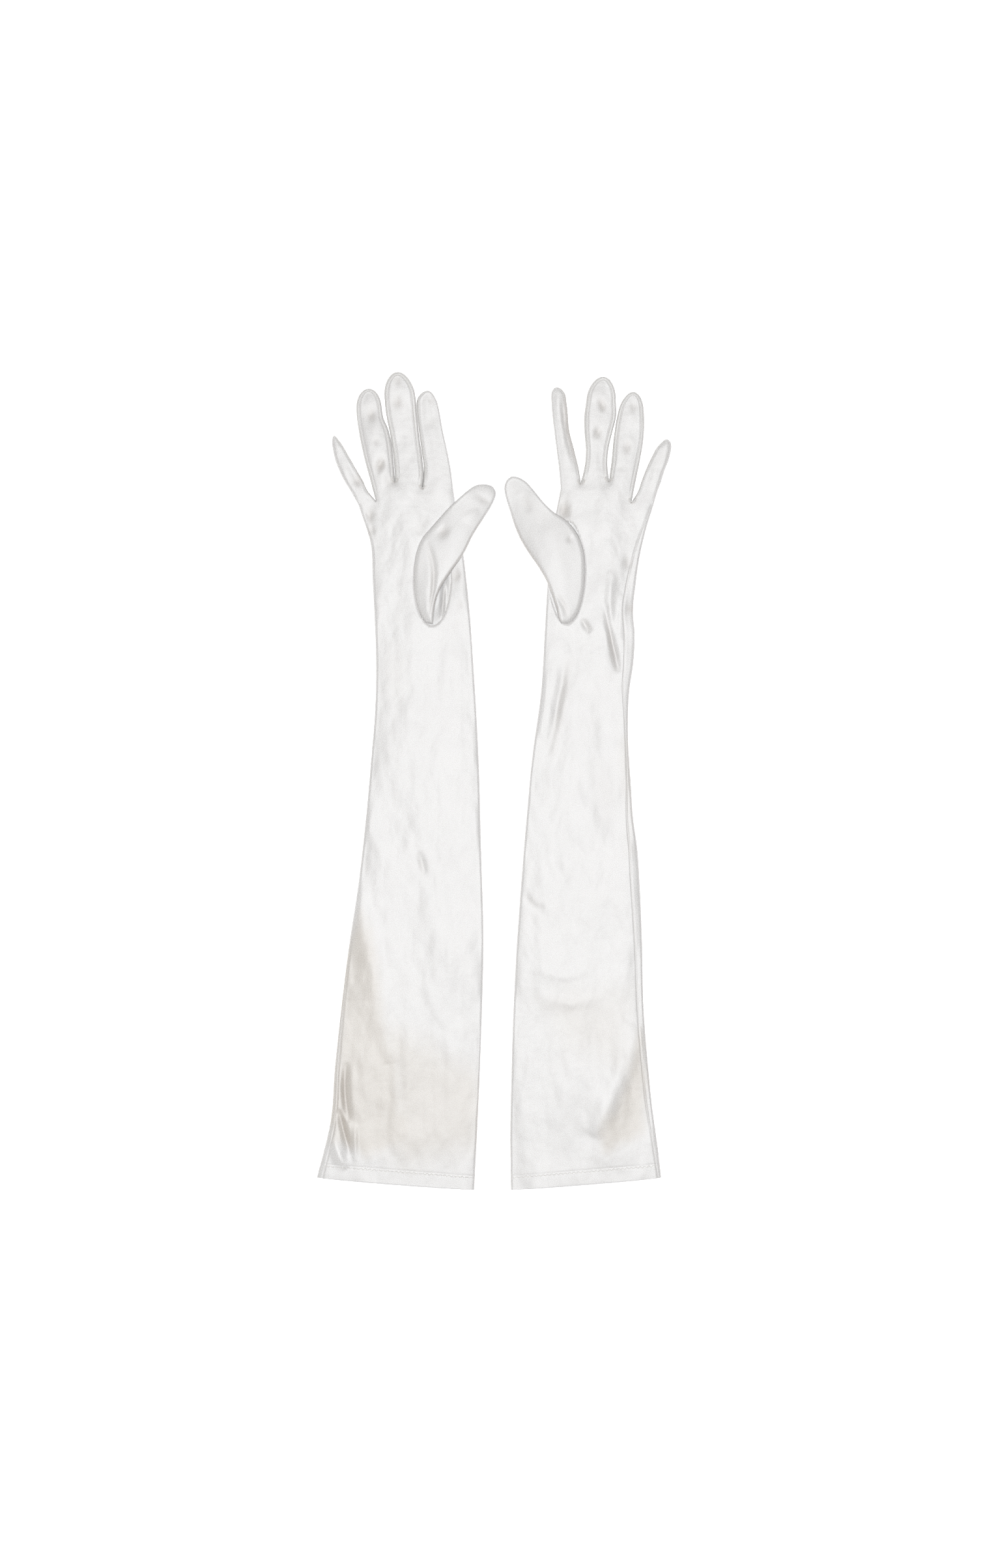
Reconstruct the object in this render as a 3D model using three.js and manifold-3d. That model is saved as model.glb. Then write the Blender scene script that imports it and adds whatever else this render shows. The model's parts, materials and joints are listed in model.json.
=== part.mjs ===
// A pair of opera-length stretch satin gloves, laid flat with the palms up and the fingers towards +Y.
// Millimetres, +Z up. The gloves lie on z = 0, and the origin is under the middle of the pair.
//
// Every glove is built in its own flat coordinates [across, along]: across runs from the folded
// (thumb) side towards the little finger, and along runs from the wrist crease to the fingertips.
// The flattened sheath is drawn open, as a low hollow, so that an arm and a hand have room in it.

import * as THREE from "three";
import { mergeVertices } from "three/addons/utils/BufferGeometryUtils.js";
import Module from "manifold-3d";

const wasm = await Module();
wasm.setup();

// Cloth and clearances
const cloth = 0.8; // one wall: satin with its seam allowance
const hemCloth = 1.2; // the turned-up hem is two layers
const clearance = 0.3; // between pieces that are sewn or folded against each other
const sheathHeight = 7.2; // sleeve, hand and fingers, outside
const thumbHeight = 6; // thumb, which lies on the palm
const seamWidth = 1.6; // rows of stitches: hem and thumb oval

// Lengths along the arm
const hemDepth = 9.5;
const upperArmLength = 125; // hem to elbow crease
const forearmLength = 238; // elbow crease to wrist crease
const handLength = 115.5; // wrist crease to the base of the three long fingers
const littleDrop = 12.5; // the little finger starts this much lower
const hemRise = 8.4; // the hem is shorter on the seam side
const midForearm = 100; // below the wrist crease, where the forearm width is given
const palmStation = 67; // above the wrist crease, where the palm width is given

// How each glove lies. toLittle is the world direction of the little finger along X.
// fold is how far the folded edge lies from the glove's own origin at each station, and width is
// the flat width there. Finger edges are given at the base and at one and two steps along it.
const rightGlove = {
  name: "right",
  toLittle: -1,
  origin: -8,
  fold: { hem: 4.9, elbow: -0.5, forearm: 0.7, wrist: 6, palm: 12, knuckles: 19.9 },
  width: { hem: 107.6, elbow: 96.5, forearm: 77.8, wrist: 67, palm: 63.3 },
  oval: { centre: [34, 49], halfWidth: 12, halfLength: 30 },
  thumb: { fromOval: [-10, 24.5], lean: 36, length: 49.5, widths: [26, 24, 20], step: 25, round: 10 },
  fingers: [
    { name: "index", gap: 0, lean: [5.5, 11.6], widths: [20, 16.6, 13.2], length: 63.5, round: 8 },
    { name: "middle", gap: 0.8, lean: [2.1, 4.8], widths: [18.5, 19.2, 21.2], length: 76.2, round: 10 },
    { name: "ring", gap: 0.8, lean: [2.8, 8], widths: [15.8, 20.5, 18.2], length: 65, round: 10 },
  ],
  little: { name: "little", gap: 0.5, lean: [8.4, 19.3], widths: [9.5, 12.5, 6.7], length: 45, round: 6 },
};
const leftGlove = {
  name: "left",
  toLittle: 1,
  origin: 12,
  fold: { hem: -0.4, elbow: 1.5, forearm: 11.3, wrist: 22.2, palm: 24, knuckles: 33.3 },
  width: { hem: 102.4, elbow: 88.8, forearm: 71, wrist: 62.2, palm: 64 },
  oval: { centre: [38, 52.5], halfWidth: 12, halfLength: 32.5 },
  thumb: { fromOval: [-16.5, 25.5], lean: 29, length: 47, widths: [26, 22.5, 18], step: 25, round: 9 },
  fingers: [
    { name: "index", gap: 0, lean: [-3.4, -6.3], widths: [13.4, 12, 10], length: 66, round: 6 },
    { name: "middle", gap: 1.5, lean: [1.7, 4.1], widths: [16.8, 18.7, 18.7], length: 73, round: 9 },
    { name: "ring", gap: 1.5, lean: [3.3, 9], widths: [18.5, 20.6, 14.8], length: 62.8, round: 8 },
  ],
  little: { name: "little", gap: 0.5, lean: [5.6, 14], widths: [12.2, 13.3, 9.7], length: 42.3, round: 6 },
};
const fingerStep = 30; // along a long finger, between the places where its edges are given
const littleStep = 20;
const fourchetteReach = 0.78; // share of a finger's length that its side gussets run up

// Levels
const frontLow = sheathHeight - cloth;
const wallLow = cloth + clearance;
const wallHigh = frontLow - clearance;
const thumbLow = sheathHeight + clearance;
const thumbTop = thumbLow + thumbHeight;

const satin = new THREE.MeshStandardMaterial({ color: 0xf3f0ec, roughness: 0.38, metalness: 0 });
const gussetSatin = new THREE.MeshStandardMaterial({ color: 0xe9e4de, roughness: 0.42, metalness: 0 });
const thread = new THREE.MeshStandardMaterial({ color: 0xf8f5f0, roughness: 0.6, metalness: 0 });

// A closed prism over a flat outline of [across, along] points.
function prism(glove, outline, low, high) {
  const shape = new THREE.Shape(
    outline.map(([across, along]) => new THREE.Vector2(glove.origin + glove.toLittle * across, along)),
  );
  const geometry = new THREE.ExtrudeGeometry(shape, { depth: high - low, bevelEnabled: false });
  return geometry.translate(0, 0, low);
}

function solidOf(geometry) {
  geometry.deleteAttribute("normal");
  geometry.deleteAttribute("uv");
  const merged = mergeVertices(geometry, 1e-4);
  return new wasm.Manifold(
    new wasm.Mesh({
      numProp: 3,
      vertProperties: merged.attributes.position.array,
      triVerts: new Uint32Array(merged.index.array),
    }),
  );
}

function geometryOf(solid) {
  const mesh = solid.getMesh();
  const geometry = new THREE.BufferGeometry();
  geometry.setAttribute("position", new THREE.BufferAttribute(new Float32Array(mesh.vertProperties), 3));
  geometry.setIndex(new THREE.BufferAttribute(new Uint32Array(mesh.triVerts), 1));
  geometry.computeVertexNormals();
  return geometry;
}

// The first prism with all the others cut out of it.
function cutFrom(outer, ...cuts) {
  return geometryOf(cuts.reduce((solid, cut) => solid.subtract(solidOf(cut)), solidOf(outer)));
}

function named(glove, piece, geometry, material) {
  const mesh = new THREE.Mesh(geometry, material);
  mesh.name = glove.name + "_" + piece;
  return mesh;
}

// A smooth edge through stations of [along, across], read at one place.
function edgeAt(stations, along) {
  const last = stations.length - 2;
  const i = Math.min(last, Math.max(0, stations.findLastIndex(([s]) => s <= along)));
  const slope = (k) => {
    const before = stations[Math.max(0, k - 1)];
    const after = stations[Math.min(stations.length - 1, k + 1)];
    return (after[1] - before[1]) / (after[0] - before[0]);
  };
  const [[a, u], [b, v]] = [stations[i], stations[i + 1]];
  const t = (along - a) / (b - a);
  const ease = t * t * (3 - 2 * t);
  return (
    u * (1 - ease) +
    v * ease +
    (b - a) * (slope(i) * t * (1 - t) * (1 - t) - slope(i + 1) * t * t * (1 - t))
  );
}

// A value that runs through three others, given at 0, one step and two steps.
function threePoint([start, middle, end], step, along) {
  const t = along / step;
  return (start * (t - 1) * (t - 2)) / 2 - middle * t * (t - 2) + (end * t * (t - 1)) / 2;
}

const steps = (from, to, count) =>
  Array.from({ length: count + 1 }, (_, i) => from + ((to - from) * i) / count);

// Both long edges of a glove, and where its fingers stand.
function layOut(glove) {
  const elbow = -forearmLength;
  const hem = elbow - upperArmLength;
  const { fold, width } = glove;
  let start = fold.knuckles;
  const fingers = glove.fingers.map((finger) => {
    const inner = start + finger.gap;
    start = inner + finger.widths[0];
    return { ...finger, inner, base: handLength, step: fingerStep };
  });
  const ringOuter = start;
  const little = {
    ...glove.little,
    inner: ringOuter + glove.little.gap,
    base: handLength - littleDrop,
    step: littleStep,
  };
  const foldStations = [
    [hem, fold.hem],
    [elbow, fold.elbow],
    [-midForearm, fold.forearm],
    [0, fold.wrist],
    [palmStation, fold.palm],
    [handLength, fold.knuckles],
  ];
  const seamStations = [
    [hem, fold.hem + width.hem],
    [elbow, fold.elbow + width.elbow],
    [-midForearm, fold.forearm + width.forearm],
    [0, fold.wrist + width.wrist],
    [palmStation, fold.palm + width.palm],
    [little.base, little.inner + little.widths[0]],
  ];
  return {
    elbow,
    hem,
    fingers: [...fingers, little],
    ringOuter,
    little,
    foldEdge: (along) => edgeAt(foldStations, along),
    seamEdge: (along) => edgeAt(seamStations, along),
  };
}

const foldPoints = (lay, from, to, count) => steps(from, to, count).map((y) => [lay.foldEdge(y), y]);
const seamPoints = (lay, from, to, count) => steps(from, to, count).map((y) => [lay.seamEdge(y), y]);

// A strip of cloth along an edge, turned on its side: it closes the sheath between front and back.
function edgeWall(glove, edge, inward) {
  const inside = edge.map(([across, along]) => [across + inward * cloth, along]);
  return prism(glove, [...edge, ...inside.reverse()], wallLow, wallHigh);
}

// The four walls of one length of the sleeve. The lower end may slant, as the hem does.
function sleeveLength(glove, lay, piece, lowFold, lowSeam, high, count) {
  const foldSide = foldPoints(lay, lowFold, high, count);
  const seamSide = seamPoints(lay, lowSeam, high, count);
  const outline = [...foldSide, ...seamSide.toReversed()];
  return [
    named(glove, piece + "_front", prism(glove, outline, frontLow, sheathHeight), satin),
    named(glove, piece + "_back", prism(glove, outline, 0, cloth), satin),
    named(glove, piece + "_fold", edgeWall(glove, foldSide, 1), satin),
    named(glove, piece + "_side_seam", edgeWall(glove, seamSide, -1), satin),
  ];
}

// A closed band round the sleeve, from one height above the hem's edge to another.
function band(glove, lay, from, to, wall) {
  const foldLow = lay.hem - hemRise / 2;
  const seamLow = lay.hem + hemRise / 2;
  const across = (inset, low, high) => [
    [lay.foldEdge(foldLow + low) + inset, foldLow + low],
    [lay.foldEdge(foldLow + high) + inset, foldLow + high],
    [lay.seamEdge(seamLow + high) - inset, seamLow + high],
    [lay.seamEdge(seamLow + low) - inset, seamLow + low],
  ];
  return cutFrom(
    prism(glove, across(0, from, to), 0, sheathHeight),
    prism(glove, across(wall, from - 1, to + 1), wall, sheathHeight - wall),
  );
}

function sleeve(glove, lay) {
  const stitchLow = hemDepth + clearance;
  const panelLow = stitchLow + seamWidth + clearance;
  const foldLow = lay.hem - hemRise / 2 + panelLow;
  const seamLow = lay.hem + hemRise / 2 + panelLow;
  const top = lay.elbow - clearance / 2;
  return [
    named(glove, "hem", band(glove, lay, 0, hemDepth, hemCloth), satin),
    named(glove, "hem_stitching", band(glove, lay, stitchLow, stitchLow + seamWidth, cloth), thread),
    ...sleeveLength(glove, lay, "upper_arm", foldLow, seamLow, top, 4),
  ];
}

function forearm(glove, lay) {
  const low = lay.elbow + clearance / 2;
  return sleeveLength(glove, lay, "forearm", low, low, -clearance / 2, 6);
}

function ellipse({ centre, halfWidth, halfLength }, inset, from, to, count) {
  return steps(from, to, count).map((degrees) => {
    const angle = THREE.MathUtils.degToRad(degrees);
    return [
      centre[0] + (halfWidth - inset) * Math.cos(angle),
      centre[1] + (halfLength - inset) * Math.sin(angle),
    ];
  });
}

// The hand without its fingers: palm with the thumb's oval cut out, back, and the side walls.
function hand(glove, lay) {
  const low = clearance / 2;
  const high = handLength - clearance / 2;
  const littleHigh = lay.little.base - clearance / 2;
  const foldSide = foldPoints(lay, low, high, 5);
  const seamSide = seamPoints(lay, low, littleHigh, 5);
  const step = [
    [lay.ringOuter, littleHigh],
    [lay.ringOuter, high],
  ];
  const outline = [...foldSide, ...step.toReversed(), ...seamSide.toReversed()];
  const hole = ellipse(glove.oval, -clearance, 0, 337.5, 15);
  const seamOuter = ellipse(glove.oval, 0, 0, 337.5, 15);
  const seamInner = ellipse(glove.oval, seamWidth, 0, 337.5, 15);
  const palm = cutFrom(
    prism(glove, outline, frontLow, sheathHeight),
    prism(glove, hole, frontLow - 1, sheathHeight + 1),
  );
  const ovalSeam = cutFrom(
    prism(glove, seamOuter, frontLow, sheathHeight),
    prism(glove, seamInner, frontLow - 1, sheathHeight + 1),
  );
  return [
    named(glove, "palm", palm, satin),
    named(glove, "hand_back", prism(glove, outline, 0, cloth), satin),
    named(glove, "hand_fold", edgeWall(glove, foldSide, 1), satin),
    named(glove, "hand_side_seam", edgeWall(glove, seamSide, -1), satin),
    named(glove, "quirk", edgeWall(glove, step, -1), gussetSatin),
    named(glove, "thumb_seam", ovalSeam, thread),
    named(glove, "thumb_gusset", thumbGusset(glove), satin),
  ];
}

// Thumb coordinates: out along the thumb from its base crease, and across it.
function thumbFrame(glove) {
  const angle = THREE.MathUtils.degToRad(glove.thumb.lean);
  const [x, y] = glove.oval.centre.map((value, i) => value + glove.thumb.fromOval[i]);
  return (out, across) => [
    x - out * Math.sin(angle) + across * Math.cos(angle),
    y + out * Math.cos(angle) + across * Math.sin(angle),
  ];
}

// The part of the thumb piece that is sewn into the palm's oval. It is open downwards into the
// hand and outwards into the thumb.
function thumbGusset(glove) {
  const point = thumbFrame(glove);
  const half = glove.thumb.widths[0] / 2;
  const outline = (inset, out) => [
    point(out, -half + inset),
    ...ellipse(glove.oval, inset, -180, 30, 10),
    point(out, half - inset),
  ];
  const open = outline(cloth, 1);
  return cutFrom(
    prism(glove, outline(0, -clearance / 2), thumbLow, thumbTop),
    prism(glove, open, thumbLow - 1, thumbTop - cloth),
  );
}

// A digit's outline: its inner edge up, a round tip, and its outer edge down. Edges come as
// functions of the distance from the base.
function digitOutline(inner, outer, length, round, inset, from) {
  const straight = steps(from, length - round, 4);
  const tip = steps(0, 90, 4).map((degrees) => THREE.MathUtils.degToRad(degrees));
  const heights = [
    ...straight.map((y) => [y, 1]),
    ...tip.slice(1).map((a) => [length - round + (round - inset) * Math.sin(a), Math.cos(a)]),
  ];
  const sides = heights.map(([y, share]) => {
    const middle = (inner(y) + outer(y)) / 2;
    const half = ((outer(y) - inner(y)) / 2 - inset) * share;
    return [
      [middle - half, y],
      [middle + half, y],
    ];
  });
  return [...sides.map(([p]) => p), ...sides.slice(0, -1).map(([, p]) => p).toReversed()];
}

// The free part of the thumb, one sheath closed round its tip.
function thumb(glove) {
  const point = thumbFrame(glove);
  const { widths, step, length, round } = glove.thumb;
  const half = (out) => threePoint(widths, step, out) / 2;
  const outline = (inset, from) =>
    digitOutline((y) => -half(y), half, length, round, inset, from).map(([across, out]) =>
      point(out, across),
    );
  return [
    named(
      glove,
      "thumb_sheath",
      cutFrom(
        prism(glove, outline(0, clearance / 2), thumbLow, thumbTop),
        prism(glove, outline(cloth, -1), thumbLow + cloth, thumbTop - cloth),
      ),
      satin,
    ),
  ];
}

// A finger: front and back joined round the tip, with a fourchette strip in each inner side.
function finger(glove, spec, gussetSides) {
  const inner = (y) => spec.inner + threePoint([0, ...spec.lean], spec.step, y);
  const outer = (y) => inner(y) + threePoint(spec.widths, spec.step, y);
  const raise = (points) => points.map(([across, y]) => [across, y + spec.base]);
  const outline = (inset, from) =>
    raise(digitOutline(inner, outer, spec.length, spec.round, inset, from));
  const reach = spec.length * fourchetteReach;
  const strip = (side, depth, proud, from, to) => {
    const edge = side < 0 ? inner : outer;
    const heights = steps(from, to, 4);
    const outside = heights.map((y) => [edge(y) + side * proud, y]);
    const inside = heights.map((y) => [edge(y) - side * depth, y]);
    return raise([...outside, ...inside.reverse()]);
  };
  const slots = gussetSides.map((side) =>
    prism(glove, strip(side, cloth + 0.05, 1, -1, reach), cloth, frontLow),
  );
  const sheath = cutFrom(
    prism(glove, outline(0, clearance / 2), 0, sheathHeight),
    prism(glove, outline(cloth, -1), cloth, frontLow),
    ...slots,
  );
  const fourchettes = gussetSides.map((side) =>
    named(
      glove,
      `${spec.name}_fourchette_${side < 0 ? "inner" : "outer"}`,
      prism(glove, strip(side, cloth, 0, clearance / 2, reach - clearance), wallLow, wallHigh),
      gussetSatin,
    ),
  );
  return [named(glove, spec.name + "_sheath", sheath, satin), ...fourchettes];
}

function buildGlove(glove) {
  const lay = layOut(glove);
  const [index, middle, ring, little] = lay.fingers;
  const group = new THREE.Group();
  group.add(
    ...sleeve(glove, lay),
    ...forearm(glove, lay),
    ...hand(glove, lay),
    ...thumb(glove),
    ...finger(glove, index, [1]),
    ...finger(glove, middle, [-1, 1]),
    ...finger(glove, ring, [-1, 1]),
    ...finger(glove, little, [-1]),
  );
  return group;
}

const pair = new THREE.Group();
pair.add(buildGlove(rightGlove), buildGlove(leftGlove));

// The origin goes under the middle of the pair.
const box = new THREE.Box3().setFromObject(pair);
const middle = box.getCenter(new THREE.Vector3());
pair.position.set(-middle.x, -middle.y, -box.min.z);

const operaGloves = new THREE.Group();
operaGloves.add(pair);

export default operaGloves;
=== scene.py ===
import json
import math

import bpy
import numpy as np
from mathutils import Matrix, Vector, noise
from mathutils.kdtree import KDTree


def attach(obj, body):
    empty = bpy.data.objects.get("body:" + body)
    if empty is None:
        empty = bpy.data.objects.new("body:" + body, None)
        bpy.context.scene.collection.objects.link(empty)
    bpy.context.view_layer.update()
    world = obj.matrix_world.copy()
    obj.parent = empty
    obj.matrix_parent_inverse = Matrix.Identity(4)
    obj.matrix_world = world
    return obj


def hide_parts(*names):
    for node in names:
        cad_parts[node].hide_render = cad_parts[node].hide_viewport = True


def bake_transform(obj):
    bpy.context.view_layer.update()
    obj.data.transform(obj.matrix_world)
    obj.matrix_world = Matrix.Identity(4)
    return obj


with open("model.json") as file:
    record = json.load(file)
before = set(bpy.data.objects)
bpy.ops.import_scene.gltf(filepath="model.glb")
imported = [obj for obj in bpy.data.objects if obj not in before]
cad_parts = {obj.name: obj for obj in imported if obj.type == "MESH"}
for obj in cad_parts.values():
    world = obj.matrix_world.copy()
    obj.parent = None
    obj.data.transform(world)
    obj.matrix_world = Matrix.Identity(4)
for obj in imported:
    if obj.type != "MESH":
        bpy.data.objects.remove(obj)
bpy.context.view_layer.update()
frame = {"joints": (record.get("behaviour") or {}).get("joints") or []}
scene = bpy.context.scene
joints = {joint["name"]: joint for joint in frame["joints"]}
mm = 0.001
print("frame loaded")

studio = {
    "cameraHeight": 2.5,
    "longSideSeen": 1.0728,
    "lookAt": (0.0033, -0.0022),
    "floorSize": 24.0,
    "floorGlow": 0.75,
    "paper": "F6F6F6",
    "roomLight": 0.3,
    "roomColour": "F3EDE4",
    # place, size, watts, colour
    "topSoftbox": ((0.1, 0.0, 3.4), 1.8, 68.0, (0.98, 0.99, 1.0)),
    "sideSoftbox": ((-2.6, -0.6, 1.5), 1.4, 6.0, (1.0, 0.97, 0.92)),
}


def srgb(hexCode):
    channels = [int(hexCode[i : i + 2], 16) / 255 for i in (0, 2, 4)]
    linear = [c / 12.92 if c <= 0.04045 else ((c + 0.055) / 1.055) ** 2.4 for c in channels]
    return (*linear, 1.0)


def setInputs(tree, node, inputs):
    for key, value in inputs.items():
        if isinstance(value, bpy.types.NodeSocket):
            tree.links.new(value, node.inputs[key])
        else:
            node.inputs[key].default_value = value


def addNode(tree, kind, settings=None, inputs=None):
    node = tree.nodes.new(kind)
    for key, value in (settings or {}).items():
        setattr(node, key, value)
    setInputs(tree, node, inputs or {})
    return node


def addMaths(tree, operation, *values):
    return addNode(tree, "ShaderNodeMath", {"operation": operation}, dict(enumerate(values))).outputs[0]


def addNoise(tree, settings, inputs):
    return addNode(tree, "ShaderNodeTexNoise", settings, inputs).outputs["Fac"]


def addRange(tree, value, fromRange, toRange):
    limits = dict(zip(("From Min", "From Max", "To Min", "To Max"), (*fromRange, *toRange)))
    return addNode(tree, "ShaderNodeMapRange", None, {"Value": value, **limits}).outputs["Result"]


def addMix(tree, factor, first, second, blend="MIX"):
    settings = {"data_type": "RGBA", "blend_type": blend}
    return addNode(tree, "ShaderNodeMix", settings, {"Factor": factor, 6: first, 7: second}).outputs[2]


def addBump(tree, height, strength, distance):
    inputs = {"Height": height, "Strength": strength, "Distance": distance}
    return addNode(tree, "ShaderNodeBump", None, inputs).outputs["Normal"]


def newMaterial(name):
    material = bpy.data.materials.new(name)
    material.use_nodes = True
    return material, material.node_tree, material.node_tree.nodes["Principled BSDF"]


def addObject(name, data):
    made = bpy.data.objects.new(name, data)
    scene.collection.objects.link(made)
    return made


def buildStudio():
    x, y = studio["lookAt"]
    camera = addObject("camera", bpy.data.cameras.new("camera"))
    camera.location = (x, y, studio["cameraHeight"])
    camera.data.lens = camera.data.sensor_width * studio["cameraHeight"] / studio["longSideSeen"]
    scene.camera = camera
    scene.view_settings.view_transform = "Standard"

    half = studio["floorSize"] / 2
    corners = [(-half, -half, 0), (half, -half, 0), (half, half, 0), (-half, half, 0)]
    mesh = bpy.data.meshes.new("floor")
    mesh.from_pydata(corners, [], [(0, 1, 2, 3)])
    floor = addObject("floor", mesh)
    # matt white paper that glows a little, as a lit sweep does
    paper, tree, shader = newMaterial("white_paper")
    setInputs(tree, shader, {"Base Color": srgb(studio["paper"]), "Roughness": 0.9})
    setInputs(tree, shader, {"Emission Color": (1, 1, 1, 1), "Emission Strength": studio["floorGlow"]})
    mesh.materials.append(paper)

    def softbox(name, place, size, power, colour):
        light = bpy.data.lights.new(name, "AREA")
        light.shape = "SQUARE"
        light.size = size
        light.energy = power
        light.color = colour
        lamp = addObject(name, light)
        lamp.location = place
        lamp.rotation_euler = Vector(place).to_track_quat("Z", "Y").to_euler()

    softbox("top_softbox", *studio["topSoftbox"])
    softbox("side_softbox", *studio["sideSoftbox"])
    world = bpy.data.worlds.new("room")
    world.use_nodes = True
    background = world.node_tree.nodes["Background"]
    background.inputs["Color"].default_value = srgb(studio["roomColour"])
    background.inputs["Strength"].default_value = studio["roomLight"]
    scene.world = world


buildStudio()
print("studio ready")

satinLook = {
    "ivory": "EDEDEE",
    "paintedWarmShadeColour": "E3DFDA",
    "gusset": "ECECEC",
    "hollow": "C6BBB0",
    "threadSpacing": 0.9,
    "grain": 0.55,
    "cloud": 26.0,
    "roughness": 0.36,
    "speckle": (0.8, 1.12),
    "mottling": (0.985, 1.01),
    "paintedCrestHighlight": (1.08, 1.0),
    "bump": (0.3, 0.00016),
}


def satinMaterial(name, colour):
    # Stretch satin, polyester with elastane, woven and calendered: long floats give it a soft,
    # slightly stretched highlight and a fine sparkle. The 0.3 mm floats are drawn at 0.9 mm.
    material, tree, shader = newMaterial(name)
    flat = addNode(tree, "ShaderNodeUVMap", {"uv_map": "cloth"}).outputs["UV"]
    paintedWarmShade = addNode(tree, "ShaderNodeAttribute", {"attribute_name": "warm_painted_shade"}).outputs["Fac"]
    shade = addNode(tree, "ShaderNodeAttribute", {"attribute_name": "shade"}).outputs["Fac"]
    plane, middle = {"noise_dimensions": "2D"}, (0.3, 0.7)
    grainInputs = {"Vector": flat, "Scale": 1 / satinLook["grain"], "Detail": 2.0, "Roughness": 0.6}
    grain = addNoise(tree, plane, grainInputs)
    cloud = addNoise(tree, plane, {"Vector": flat, "Scale": 1 / satinLook["cloud"], "Detail": 3.0})
    floats = addNode(
        tree,
        "ShaderNodeTexWave",
        {"bands_direction": "DIAGONAL"},
        {"Vector": flat, "Scale": 0.32 / satinLook["threadSpacing"], "Distortion": 2.5, "Detail": 1.0},
    ).outputs["Fac"]

    # painted warm shade: the base colour is mixed toward beige in the painted zones
    toned = addMix(tree, paintedWarmShade, srgb(colour), srgb(satinLook["paintedWarmShadeColour"]))
    # painted shade: the shade attribute multiplies the colour toward brown in hollows, creases, seams and
    # along edges
    hollows = addMix(tree, shade, toned, srgb(satinLook["hollow"]), "MULTIPLY")
    # painted highlight: negative shade brightens the colour on crests
    paintedCrestHighlight = addRange(tree, shade, (-1.0, 0.0), satinLook["paintedCrestHighlight"])
    speckle = addRange(tree, grain, middle, satinLook["speckle"])
    mottled = addRange(tree, cloud, middle, satinLook["mottling"])
    tone = addMaths(tree, "MULTIPLY", addMaths(tree, "MULTIPLY", speckle, mottled), paintedCrestHighlight)
    painted = addNode(tree, "ShaderNodeVectorMath", {"operation": "SCALE"}, {0: hollows, "Scale": tone})
    roughness = satinLook["roughness"]
    gloss = addRange(tree, grain, middle, (roughness - 0.08, roughness + 0.1))
    height = addMaths(tree, "MULTIPLY_ADD", floats, 0.06, grain)
    setInputs(tree, shader, {
        "Base Color": painted.outputs[0],
        "Roughness": gloss,
        "Normal": addBump(tree, height, *satinLook["bump"]),
        "IOR": 1.55,
        "Specular IOR Level": 0.9,
        "Sheen Weight": 0.15,
        "Sheen Roughness": 0.4,
        "Anisotropic": 0.4,
    })
    return material


def threadMaterial():
    # Spun polyester sewing thread, smooth and a little whiter than the satin
    material, tree, shader = newMaterial("spun_polyester_thread")
    place = addNode(tree, "ShaderNodeTexCoord").outputs["Object"]
    twist = addNoise(tree, None, {"Vector": place, "Scale": 1500.0, "Detail": 1.0})
    setInputs(tree, shader, {
        "Base Color": addMix(tree, twist, srgb("F7F6F4"), srgb("FEFEFD")),
        "Roughness": 0.42,
        "Normal": addBump(tree, twist, 0.4, 0.0001),
        "Specular IOR Level": 0.8,
    })
    return material


satin = satinMaterial("ivory_stretch_satin", satinLook["ivory"])
gussetSatin = satinMaterial("ivory_stretch_satin_turned", satinLook["gusset"])
thread = threadMaterial()
print("materials ready")

# Millimetres from the middle of the wrist crease: across towards the little finger, along
# towards the fingertips.

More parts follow.
